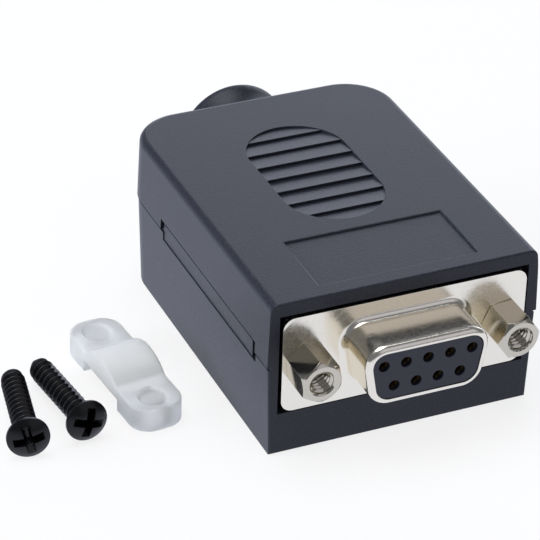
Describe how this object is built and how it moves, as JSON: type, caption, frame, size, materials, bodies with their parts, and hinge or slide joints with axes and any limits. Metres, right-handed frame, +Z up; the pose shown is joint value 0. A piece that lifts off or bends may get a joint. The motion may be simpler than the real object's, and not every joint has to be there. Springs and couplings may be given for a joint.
{
  "type": "d-sub terminal block adapter",
  "caption": "Female D-sub connector with screw terminals on a board, in a black two-part snap-together cable hood, with its loose cable clamp and clamp screws.",
  "frame": {"origin": "middle of the hood's flat underside", "axes": "+Z up out of the hood's roof, -Y out of the connector's face, +Y along the cable out of the neck"},
  "size_m": [0.062, 0.0573, 0.0204],
  "materials": {
    "hood_plastic": "fine moulded grain",
    "nickel_sheet": "satin nickel plate on drawn steel sheet",
    "nickel_turned": "bright nickel plate on turned brass",
    "insulator_plastic": "smooth glass-filled polyester",
    "contact_brass": "thin gold flash on brass",
    "tin_plate": "tin plate",
    "board_laminate": "green solder mask on glass laminate",
    "terminal_plastic": "green moulded polyamide",
    "terminal_steel": "zinc-plated steel",
    "clamp_nylon": "translucent natural polyamide",
    "black_steel": "black oxide with oil"
  },
  "bodies": {
    "base": {"lower_hood": "hood_plastic", "front_shell": "nickel_sheet", "front_insulator": "insulator_plastic", "rear_bracket": "insulator_plastic", "socket_contact_1": "contact_brass", "socket_contact_2": "contact_brass", "socket_contact_3": "contact_brass", "socket_contact_4": "contact_brass", "socket_contact_5": "contact_brass", "socket_contact_6": "contact_brass", "socket_contact_7": "contact_brass", "socket_contact_8": "contact_brass", "socket_contact_9": "contact_brass", "threaded_insert_left": "contact_brass", "threaded_insert_right": "contact_brass", "board_lock_left": "tin_plate", "board_lock_right": "tin_plate", "jack_socket_left": "nickel_turned", "jack_socket_right": "nickel_turned", "circuit_board": "board_laminate", "terminal_housing": "terminal_plastic", "terminal_pin_1": "tin_plate", "terminal_pin_2": "tin_plate", "terminal_pin_3": "tin_plate", "terminal_pin_4": "tin_plate", "terminal_pin_5": "tin_plate", "terminal_pin_6": "tin_plate", "terminal_pin_7": "tin_plate", "terminal_pin_8": "tin_plate", "terminal_pin_9": "tin_plate", "terminal_pin_10": "tin_plate", "cable_clamp": "clamp_nylon", "clamp_screw_1": "black_steel", "clamp_screw_2": "black_steel"},
    "lid": {"upper_hood": "hood_plastic"},
    "screw_1": {"terminal_screw_1": "terminal_steel"},
    "cage_1": {"terminal_cage_1": "contact_brass"},
    "screw_2": {"terminal_screw_2": "terminal_steel"},
    "cage_2": {"terminal_cage_2": "contact_brass"},
    "screw_3": {"terminal_screw_3": "terminal_steel"},
    "cage_3": {"terminal_cage_3": "contact_brass"},
    "screw_4": {"terminal_screw_4": "terminal_steel"},
    "cage_4": {"terminal_cage_4": "contact_brass"},
    "screw_5": {"terminal_screw_5": "terminal_steel"},
    "cage_5": {"terminal_cage_5": "contact_brass"},
    "screw_6": {"terminal_screw_6": "terminal_steel"},
    "cage_6": {"terminal_cage_6": "contact_brass"},
    "screw_7": {"terminal_screw_7": "terminal_steel"},
    "cage_7": {"terminal_cage_7": "contact_brass"},
    "screw_8": {"terminal_screw_8": "terminal_steel"},
    "cage_8": {"terminal_cage_8": "contact_brass"},
    "screw_9": {"terminal_screw_9": "terminal_steel"},
    "cage_9": {"terminal_cage_9": "contact_brass"},
    "screw_10": {"terminal_screw_10": "terminal_steel"},
    "cage_10": {"terminal_cage_10": "contact_brass"}
  },
  "joints": [
    {"name": "lid_lift", "type": "slide", "parent": "base", "child": "lid", "axis": [0, 0, 1], "range_m": [0, 0.03]},
    {"name": "screw_1_turn", "type": "hinge", "parent": "base", "child": "screw_1", "pos_m": [-0.01143, -0.00165, 0.0135], "axis": [0, 0, 1], "range_deg": [-1440, 0]},
    {"name": "cage_1_rise", "type": "slide", "parent": "base", "child": "cage_1", "axis": [0, 0, 1], "range_m": [0, 0.0016]},
    {"name": "screw_2_turn", "type": "hinge", "parent": "base", "child": "screw_2", "pos_m": [-0.00889, -0.00165, 0.0135], "axis": [0, 0, 1], "range_deg": [-1440, 0]},
    {"name": "cage_2_rise", "type": "slide", "parent": "base", "child": "cage_2", "axis": [0, 0, 1], "range_m": [0, 0.0016]},
    {"name": "screw_3_turn", "type": "hinge", "parent": "base", "child": "screw_3", "pos_m": [-0.00635, -0.00165, 0.0135], "axis": [0, 0, 1], "range_deg": [-1440, 0]},
    {"name": "cage_3_rise", "type": "slide", "parent": "base", "child": "cage_3", "axis": [0, 0, 1], "range_m": [0, 0.0016]},
    {"name": "screw_4_turn", "type": "hinge", "parent": "base", "child": "screw_4", "pos_m": [-0.00381, -0.00165, 0.0135], "axis": [0, 0, 1], "range_deg": [-1440, 0]},
    {"name": "cage_4_rise", "type": "slide", "parent": "base", "child": "cage_4", "axis": [0, 0, 1], "range_m": [0, 0.0016]},
    {"name": "screw_5_turn", "type": "hinge", "parent": "base", "child": "screw_5", "pos_m": [-0.00127, -0.00165, 0.0135], "axis": [0, 0, 1], "range_deg": [-1440, 0]},
    {"name": "cage_5_rise", "type": "slide", "parent": "base", "child": "cage_5", "axis": [0, 0, 1], "range_m": [0, 0.0016]},
    {"name": "screw_6_turn", "type": "hinge", "parent": "base", "child": "screw_6", "pos_m": [0.00127, -0.00165, 0.0135], "axis": [0, 0, 1], "range_deg": [-1440, 0]},
    {"name": "cage_6_rise", "type": "slide", "parent": "base", "child": "cage_6", "axis": [0, 0, 1], "range_m": [0, 0.0016]},
    {"name": "screw_7_turn", "type": "hinge", "parent": "base", "child": "screw_7", "pos_m": [0.00381, -0.00165, 0.0135], "axis": [0, 0, 1], "range_deg": [-1440, 0]},
    {"name": "cage_7_rise", "type": "slide", "parent": "base", "child": "cage_7", "axis": [0, 0, 1], "range_m": [0, 0.0016]},
    {"name": "screw_8_turn", "type": "hinge", "parent": "base", "child": "screw_8", "pos_m": [0.00635, -0.00165, 0.0135], "axis": [0, 0, 1], "range_deg": [-1440, 0]},
    {"name": "cage_8_rise", "type": "slide", "parent": "base", "child": "cage_8", "axis": [0, 0, 1], "range_m": [0, 0.0016]},
    {"name": "screw_9_turn", "type": "hinge", "parent": "base", "child": "screw_9", "pos_m": [0.00889, -0.00165, 0.0135], "axis": [0, 0, 1], "range_deg": [-1440, 0]},
    {"name": "cage_9_rise", "type": "slide", "parent": "base", "child": "cage_9", "axis": [0, 0, 1], "range_m": [0, 0.0016]},
    {"name": "screw_10_turn", "type": "hinge", "parent": "base", "child": "screw_10", "pos_m": [0.01143, -0.00165, 0.0135], "axis": [0, 0, 1], "range_deg": [-1440, 0]},
    {"name": "cage_10_rise", "type": "slide", "parent": "base", "child": "cage_10", "axis": [0, 0, 1], "range_m": [0, 0.0016]}
  ],
  "couplings": [
    {"joint": "screw_1_turn", "follows": "cage_1_rise", "rad_per_m": -15708},
    {"joint": "screw_2_turn", "follows": "cage_2_rise", "rad_per_m": -15708},
    {"joint": "screw_3_turn", "follows": "cage_3_rise", "rad_per_m": -15708},
    {"joint": "screw_4_turn", "follows": "cage_4_rise", "rad_per_m": -15708},
    {"joint": "screw_5_turn", "follows": "cage_5_rise", "rad_per_m": -15708},
    {"joint": "screw_6_turn", "follows": "cage_6_rise", "rad_per_m": -15708},
    {"joint": "screw_7_turn", "follows": "cage_7_rise", "rad_per_m": -15708},
    {"joint": "screw_8_turn", "follows": "cage_8_rise", "rad_per_m": -15708},
    {"joint": "screw_9_turn", "follows": "cage_9_rise", "rad_per_m": -15708},
    {"joint": "screw_10_turn", "follows": "cage_10_rise", "rad_per_m": -15708}
  ]
}
